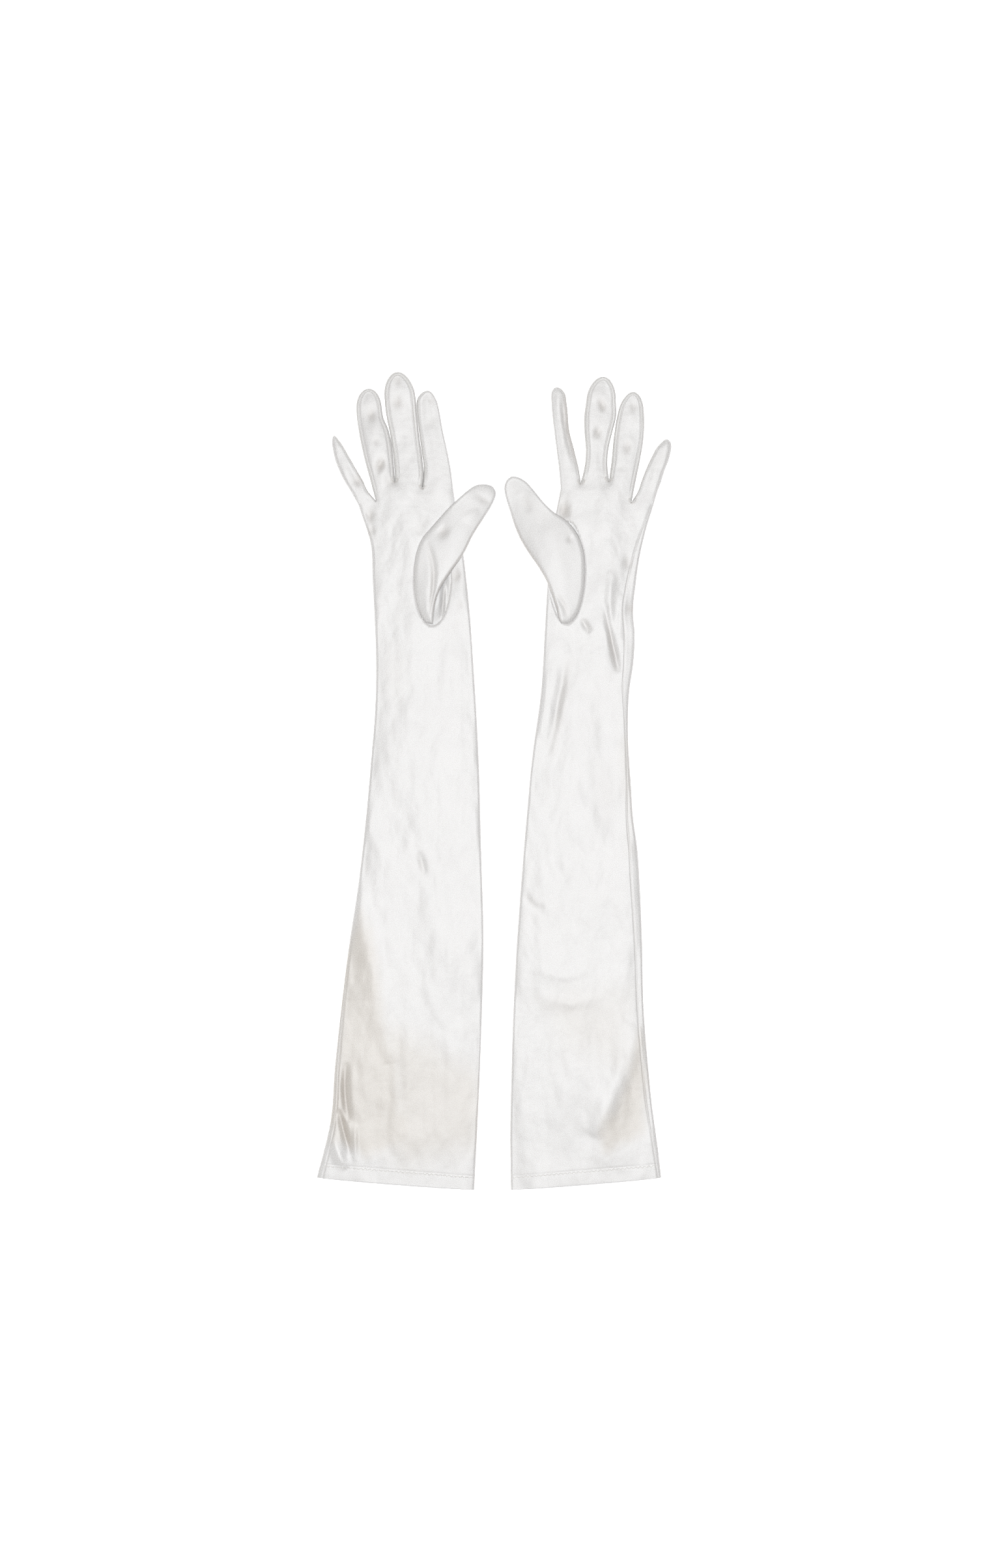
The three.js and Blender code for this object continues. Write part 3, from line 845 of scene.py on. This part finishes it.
def trankShell(glove):
    # the whole sheath of a glove: sleeve, hand and fingers, palm side and back
    shell = Shell(glove)
    make = clothMake
    depth, seamColumn = make["seamDepth"], len(make["bandShares"]) - 1
    rows, rowLabels = sleeveRows(glove)
    patches = [("sleeve", rows)]
    start = 0
    for name, cells in make["fingerColumns"].items():
        patches.append((name, fingerRows(glove, name, rows[-1, start : start + cells + 1])))
        start += cells
    tree = outlineTree([line for _, grid in patches for line in (grid[:, 0], grid[:, -1])])
    knuckleColumns = np.cumsum([0, *make["fingerColumns"].values()])
    centre, half = np.array(glove["oval"]["centre"]), np.array(glove["oval"]["half"])
    for name, grid in patches:
        shape = grid.shape[:2]
        edge = sideEdges(shape)
        frontGroove, backGroove = np.zeros(shape), np.zeros(shape)
        front, back = grid.copy(), grid.copy()
        ovalSeam = 0
        if name == "sleeve":
            edge[-1, knuckleColumns] = True
            labels = np.repeat(np.array(rowLabels, dtype=object)[:, None], shape[1] - 1, axis=1)
            frontLabels = labels.copy()
            frontGroove[rowLabels.index("upper_arm")] = backGroove[rowLabels.index("upper_arm")] = 0.4 * depth
            frontGroove[:, -1 - seamColumn] = depth
            # the back layer of the hem shows a little below the front one
            low = (make["hemDepth"] - (back[..., 1] - back[:1, :, 1])) / make["hemDepth"]
            sag = np.sin(math.pi * np.linspace(0, 1, shape[1])) ** 0.5
            back[..., 1] -= make["backShows"] * np.clip(low, 0, 1) * sag
            # the palm ends on the thumb's oval
            share = np.linalg.norm((front - centre) / half, axis=-1)
            outside = np.linalg.norm(front - centre, axis=-1) * (1 - 1 / np.maximum(share, 1e-6))
            snap = np.abs(outside) < 0.6
            front[snap] = (centre + (front - centre) / share[..., None])[snap]
            outside[snap] = 0
            middle = (share[:-1, :-1] + share[1:, 1:] + share[:-1, 1:] + share[1:, :-1]) / 4
            frontLabels[(middle < 1) & (frontLabels == "hand")] = ""
            ovalSeam = np.exp(-((outside.ravel() / clothRelief["ovalSeam"]) ** 2))
        else:
            labels = np.full((shape[0] - 1, shape[1] - 1), name + "_sheath", dtype=object)
            inner, outer = glove["fingers"][name]["gusseted"]
            if inner:
                labels[:, :seamColumn] = name + "_fourchette_inner"
                frontGroove[:, seamColumn] = depth
            if outer:
                labels[:, -seamColumn:] = name + "_fourchette_outer"
            if outer or name == "little":
                frontGroove[:, -1 - seamColumn] = depth
            frontGroove *= ease(np.linspace(0, 8, shape[0]))[:, None]
            frontGroove[-1, seamColumn:-seamColumn] = depth
            frontLabels, backGroove = labels, frontGroove
        for up in (True, False):
            points = (front if up else back).reshape(-1, 2)
            distance = distances(tree, points)
            distance[edge.ravel()] = 0
            if up:
                level, shade = frontLayer(glove, points, distance, frontGroove.ravel(), ovalSeam)
                shell.addPatch(front, level, frontLabels, True, shade)
            else:
                level, shade = backLayer(glove, points, distance, backGroove.ravel())
                shell.addPatch(back, level, labels, False, shade)
    shell.finish()
    shell.rows = rows
    return shell


thumbMake = {
    "columns": 27,
    "palmLevel": 5.5,
    "tableLevel": 2.4,
    "slope": 44.0,
    "slopeStart": 9.0,
    "edgeRound": 1.1,
    "leavesPalm": 0.55,
    "sewnTo": 0.45,
    "tuck": 0.75,
    "tuckWidth": 1.1,
    "foldShade": 0.35,
}


def restingLevel(glove, points):
    # where a piece on the palm rests: on the palm, and down to the table past the folded edge
    fold = smoothCurve(glove["foldEdge"])(points[:, 1])[:, 0]
    past = ease((fold + thumbMake["slopeStart"] - points[:, 0]) / thumbMake["slope"])
    return thumbMake["palmLevel"] * (1 - past) + thumbMake["tableLevel"] * past


def thumbShell(glove):
    # flat where it is sewn to the palm, a rounded fold on its lower side, a flat tube past the hand
    shell = Shell(glove)
    grid, at = thumbRows(glove)
    shape = grid.shape[:2]
    tree = outlineTree([grid[:, 0], grid[:, -1]])
    points = grid.reshape(-1, 2)
    edge = sideEdges(shape)
    edge[0] = edge[-1] = True
    distance = distances(tree, points)
    distance[edge.ravel()] = 0
    rim = roundOver(distance, thumbMake["edgeRound"])
    across = np.tile(np.linspace(0, 1, shape[1]), shape[0])
    along = np.repeat(at, shape[1])
    onPalm = 1 - ease((along - thumbMake["leavesPalm"]) / 0.2)
    upperSide = onPalm * (1 - ease(across / 0.8))
    rest = restingLevel(glove, points) + 0.2 - 0.7 * upperSide
    # round the oval the edge is tucked down to its seam
    inward = np.linalg.norm(points - np.repeat(grid[:, 0], shape[1], axis=0), axis=1)
    sewn = 1 - ease((along - thumbMake["sewnTo"]) / 0.2)
    rest -= thumbMake["tuck"] * sewn * np.exp(-((inward / thumbMake["tuckWidth"]) ** 2))
    folds, shade = foldRelief(glove["thumbFolds"], points)
    crown = 0.5 * (1 - np.exp(-distance / 6))
    relief = 0.6 * folds + 0.5 * slack(points, glove["thumbSeed"])
    top = rest + 0.75 + (1.2 + crown) * rim * (1 - 0.35 * upperSide) + relief * ease(distance / 3)
    top = np.maximum(top, rest + 0.75 + 0.4 * rim)
    bottom = rest + 0.6 - 0.5 * rim
    top[edge.ravel()] = bottom[edge.ravel()] = (rest + 0.65)[edge.ravel()]
    # painted shade along the thumb's rounded lower fold, its thin edges and its folds
    lowerFold = np.exp(-(((1 - across) / 0.09) ** 2)) * onPalm
    shade = shade + 0.1 * (1 - rim) + thumbMake["foldShade"] * lowerFold
    labels = np.full((shape[0] - 1, shape[1] - 1), "thumb", dtype=object)
    shell.addPatch(grid, top, labels, True, shade)
    shell.addPatch(grid, bottom, labels, False, shade)
    shell.finish()
    return shell


def ovalShell(glove):
    # the foot of the thumb piece, sewn into the palm's oval
    shell = Shell(glove)
    centre, half = np.array(glove["oval"]["centre"]), np.array(glove["oval"]["half"])
    ring, turn = np.meshgrid(np.linspace(0, 1.05, 24), np.linspace(0, 2 * math.pi, 97), indexing="ij")
    grid = centre + half * np.stack([ring * np.cos(turn), ring * np.sin(turn)], axis=-1)
    points = grid.reshape(-1, 2)
    inside = (1 - ring.ravel()) * half[0]
    level = 4.4 - 0.9 * ease(inside / 5) + 0.3 * slack(points, 71.0)
    tongue, shade = foldRelief([(glove["tongue"], 1.5, 1.2, 0.8)], points)
    level += tongue * ease(inside / 1.2)
    middle = ring.ravel() == 0
    level[middle] = level[middle].mean()
    labels = np.full((ring.shape[0] - 1, ring.shape[1] - 1), "oval", dtype=object)
    # painted shade along the tongue, from its fold shade halved and flipped
    shell.addPatch(grid, level, labels, False, -0.5 * shade)
    shell.finish()
    return shell


stitchMake = {
    "hem": {"spacing": 1.5, "length": 2.3, "thread": 0.28, "slant": 40.0},
    "oval": {"spacing": 1.9, "length": 1.3, "thread": 0.17, "slant": 62.0},
}


def stitchTree(material):
    tree = bpy.data.node_groups.new("stitch_row", "GeometryNodeTree")
    sockets = {}
    tree.interface.new_socket("Geometry", in_out="INPUT", socket_type="NodeSocketGeometry")
    for name in ("Spacing", "Length", "Thread", "Slant"):
        socket = tree.interface.new_socket(name, in_out="INPUT", socket_type="NodeSocketFloat")
        sockets[name] = socket.identifier
    tree.interface.new_socket("Geometry", in_out="OUTPUT", socket_type="NodeSocketGeometry")

    def made(kind, inputs=None, settings=None):
        return addNode(tree, kind, settings, inputs).outputs[0]

    inputs = addNode(tree, "NodeGroupInput").outputs
    path = made("GeometryNodeMeshToCurve", {"Mesh": inputs["Geometry"]})
    spaced = {"Curve": path, "Length": inputs["Spacing"]}
    places = made("GeometryNodeResampleCurve", spaced, {"mode": "LENGTH"})
    tangent = made("GeometryNodeInputTangent")
    lying = made("FunctionNodeAlignRotationToVector", {"Vector": tangent}, {"axis": "X"})
    # every second stitch leans the other way
    index = made("GeometryNodeInputIndex")
    sign = addMaths(tree, "MULTIPLY_ADD", addMaths(tree, "MODULO", index, 2.0), 2.0, -1.0)
    turn = made("ShaderNodeCombineXYZ", {"Z": addMaths(tree, "MULTIPLY", sign, inputs["Slant"])})
    leaning = {"Rotation": lying, "Rotate By": turn}
    turned = made("FunctionNodeRotateRotation", leaning, {"rotation_space": "LOCAL"})
    grain = made("GeometryNodeMeshUVSphere", {"Segments": 8, "Rings": 5, "Radius": 1.0})
    halfLength = addMaths(tree, "MULTIPLY", inputs["Length"], 0.5)
    size = made("ShaderNodeCombineXYZ", {"X": halfLength, "Y": inputs["Thread"], "Z": inputs["Thread"]})
    laid = {"Points": places, "Instance": grain, "Rotation": turned, "Scale": size}
    stitches = made("GeometryNodeRealizeInstances", {"Geometry": made("GeometryNodeInstanceOnPoints", laid)})
    smooth = made("GeometryNodeSetShadeSmooth", {"Geometry": stitches})
    finished = made("GeometryNodeSetMaterial", {"Geometry": smooth, "Material": material})
    addNode(tree, "NodeGroupOutput", None, {"Geometry": finished})
    return tree, sockets


stitchRow, stitchSockets = stitchTree(thread)


def stitchPiece(name, paths, make):
    points, edges = [], []
    for path in paths:
        start = len(points)
        points += (path * mm).tolist()
        edges += [(start + k, start + k + 1) for k in range(len(path) - 1)]
    mesh = bpy.data.meshes.new(name + "_path")
    mesh.from_pydata(points, edges, [])
    carrier = addObject(name + "_path", mesh)
    modifier = carrier.modifiers.new("stitches", "NODES")
    modifier.node_group = stitchRow
    for socket in ("Spacing", "Length", "Thread"):
        modifier[stitchSockets[socket]] = make[socket.lower()] * mm
    modifier[stitchSockets["Slant"]] = math.radians(make["slant"])
    bpy.context.view_layer.update()
    graph = bpy.context.evaluated_depsgraph_get()
    made = bpy.data.meshes.new_from_object(carrier.evaluated_get(graph))
    bpy.data.objects.remove(carrier)
    made.name = name
    return addObject(name, made)


def rolledSeams(name, paths, radius, material):
    # narrow rolled edges: closed tubes with eight sides
    sides = 8
    points, faces = [], []
    for path in paths:
        start, count = len(points), len(path)
        run = np.gradient(path, axis=0)
        run /= np.linalg.norm(run, axis=1)[:, None]
        outward = np.cross(run, (0, 0, 1))
        outward /= np.linalg.norm(outward, axis=1)[:, None]
        upward = np.cross(outward, run)
        for k in range(count):
            for turn in np.arange(sides) * 2 * math.pi / sides:
                points.append(path[k] + radius * (outward[k] * math.cos(turn) + upward[k] * math.sin(turn)))
        for k in range(count - 1):
            low, high = start + k * sides, start + (k + 1) * sides
            for j in range(sides):
                other = (j + 1) % sides
                faces.append([low + j, high + j, high + other, low + other])
        last = start + (count - 1) * sides
        faces += [[start + j for j in range(sides)], [last + j for j in reversed(range(sides))]]
    mesh = bpy.data.meshes.new(name)
    points = np.array(points)
    mesh.from_pydata((points * mm).tolist(), [], faces)
    dressMesh(mesh, points[:, :2], material)
    return addObject(name, mesh)


def surfaceReader(shell, up):
    # level of the outer cloth over any flat place, from the three nearest vertices
    chosen = np.flatnonzero(shell.normals[:, 2] > 0.2 if up else shell.normals[:, 2] < -0.2)
    tree = KDTree(len(chosen))
    for k in chosen:
        tree.insert((*shell.uv[k], 0), int(k))
    tree.balance()

    def read(points):
        levels = []
        for x, y in points:
            found = tree.find_n((x, y, 0), 3)
            weights = np.array([1 / (hit[2] + 0.05) for hit in found])
            near = np.array([shell.verts[hit[1], 2] for hit in found])
            levels.append(float(weights @ near / weights.sum()))
        return np.array(levels)

    return read


def bodyName(glove, part):
    return glove["side"] + "_" + part


def nodeNames(glove, *names):
    return [glove["side"] + "_" + name for name in names]


def bendAcross(piece):
    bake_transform(piece)


def buildGlove(glove):
    side = glove["side"]
    trank = trankShell(glove)
    print(side, "sheath", len(trank.verts), "vertices")
    wristX, wristY = glove["wrist"][0] * mm, glove["wrist"][1] * mm
    elbowY = joints[side + "_elbow_bend"]["pos_m"][1]
    widths = trank.rows[:, -1, 0] - trank.rows[:, 0, 0]
    lengths = trank.rows[:, 0, 1]
    thin = clothMake["thickness"]

    def rowsBetween(low, high):
        chosen = (lengths >= low - 1e-6) & (lengths <= high + 1e-6)
        return 2 * widths[chosen].max() * mm, 2 * widths[chosen].mean() * (high - low) * mm * mm

    foldHem = glove["foldEdge"][0][0]
    hemTop = foldHem + clothMake["hemDepth"]

    hem = clothPiece(trank, "hem", side + "_hem_band", clothMake["hemThickness"], satin)
    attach(hem, bodyName(glove, "sleeve"))
    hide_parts(*nodeNames(glove, "hem"))
    wide, area = rowsBetween(foldHem, hemTop)

    lengthsOfCloth = [
        ("upper_arm", "sleeve", None, hemTop, glove["elbow"]),
        ("forearm", "forearm", ("sleeve", elbowY), glove["elbow"], 0.0),
        ("hand", "hand", ("forearm", wristY), 0.0, glove["knuckles"][0][1]),
    ]
    for label, body, bend, low, high in lengthsOfCloth:
        piece = clothPiece(trank, label, side + "_" + label + "_cloth", thin, satin)
        if bend:
            bendAcross(piece)
        else:
            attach(piece, bodyName(glove, body))
        if label == "hand":
            names = ("palm", "hand_back", "hand_fold", "hand_side_seam")
        else:
            names = [label + "_" + part for part in ("front", "back", "fold", "side_seam")]
        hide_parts(*nodeNames(glove, *names))
        wide, area = rowsBetween(low, high)

    for name in clothMake["fingerColumns"]:
        finger = glove["fingers"][name]
        length = finger["tip"][1] - finger["edges"][0][0]
        wide = 2 * max(right - left for _, left, right in finger["edges"])
        parts = [("sheath", satin, "satin")]
        parts += [
            ("fourchette_" + edge, gussetSatin, "gusset_satin")
            for edge, sewn in zip(("inner", "outer"), finger["gusseted"])
            if sewn
        ]
        for part, material, slot in parts:
            label = name + "_" + part
            piece = clothPiece(trank, label, side + "_" + label + "_cloth", thin, material)
            bendAcross(piece)
            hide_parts(*nodeNames(glove, label))
            if part == "sheath":
                area = 0.72 * wide * length * mm * mm

    oval = clothPiece(ovalShell(glove), "oval", side + "_thumb_gusset_cloth", thin, satin)
    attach(oval, bodyName(glove, "hand"))
    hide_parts(*nodeNames(glove, "thumb_gusset"))
    halfWide, halfLong = glove["oval"]["half"]
    area = math.pi * halfWide * halfLong * mm * mm

    thumb = clothPiece(thumbShell(glove), "thumb", side + "_thumb_cloth", thin, satin)
    hinge = joints[side + "_thumb_bend"]
    outward = Vector(hinge["axis"]).cross(Vector((0, 0, 1)))
    if outward.y < 0:
        outward = -outward
    bendAcross(thumb)
    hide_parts(*nodeNames(glove, "thumb_sheath"))

    palmLevel, backLevel = surfaceReader(trank, True), surfaceReader(trank, False)
    line = sleeveRow(glove, hemTop - 1.2, glove["seamEdge"][0][0] + clothMake["hemDepth"] - 1.2)[4:-5]
    line = resample(line, 1.0)
    front = placed(glove, line, palmLevel(line) + 0.1)
    back = placed(glove, line, backLevel(line) - 0.05)
    hemStitches = stitchPiece(side + "_hem_stitches", [front, back], stitchMake["hem"])
    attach(hemStitches, bodyName(glove, "sleeve"))
    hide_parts(*nodeNames(glove, "hem_stitching"))

    turns = np.linspace(math.radians(-195), math.radians(15), 15)
    rolls = [
        np.stack([u + radius * np.cos(turns), v + radius * np.sin(turns)], axis=1)
        for u, v, radius in glove["loops"]
    ]
    lifts = [0.05] * len(rolls) + [0.6] * len(glove["rolls"])
    rolls += [densePath(path, 0.8) for path in glove["rolls"]]
    seams = [placed(glove, path, palmLevel(path) + lift) for path, lift in zip(rolls, lifts)]
    rolled = rolledSeams(side + "_rolled_seams", seams, 0.42, gussetSatin)
    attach(rolled, bodyName(glove, "hand"))
    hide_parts(*nodeNames(glove, "quirk"))

    turns = np.linspace(0, 2 * math.pi, 150)
    centre, half = glove["oval"]["centre"], glove["oval"]["half"]
    ring = np.stack([centre[0] + half[0] * np.cos(turns), centre[1] + half[1] * np.sin(turns)], axis=1)
    seam = placed(glove, ring, palmLevel(ring) + 0.05)
    ovalStitches = stitchPiece(side + "_thumb_stitches", [seam], stitchMake["oval"])
    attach(ovalStitches, bodyName(glove, "hand"))
    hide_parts(*nodeNames(glove, "thumb_seam"))
    print(side, "glove done")


for glove in gloves:
    buildGlove(glove)
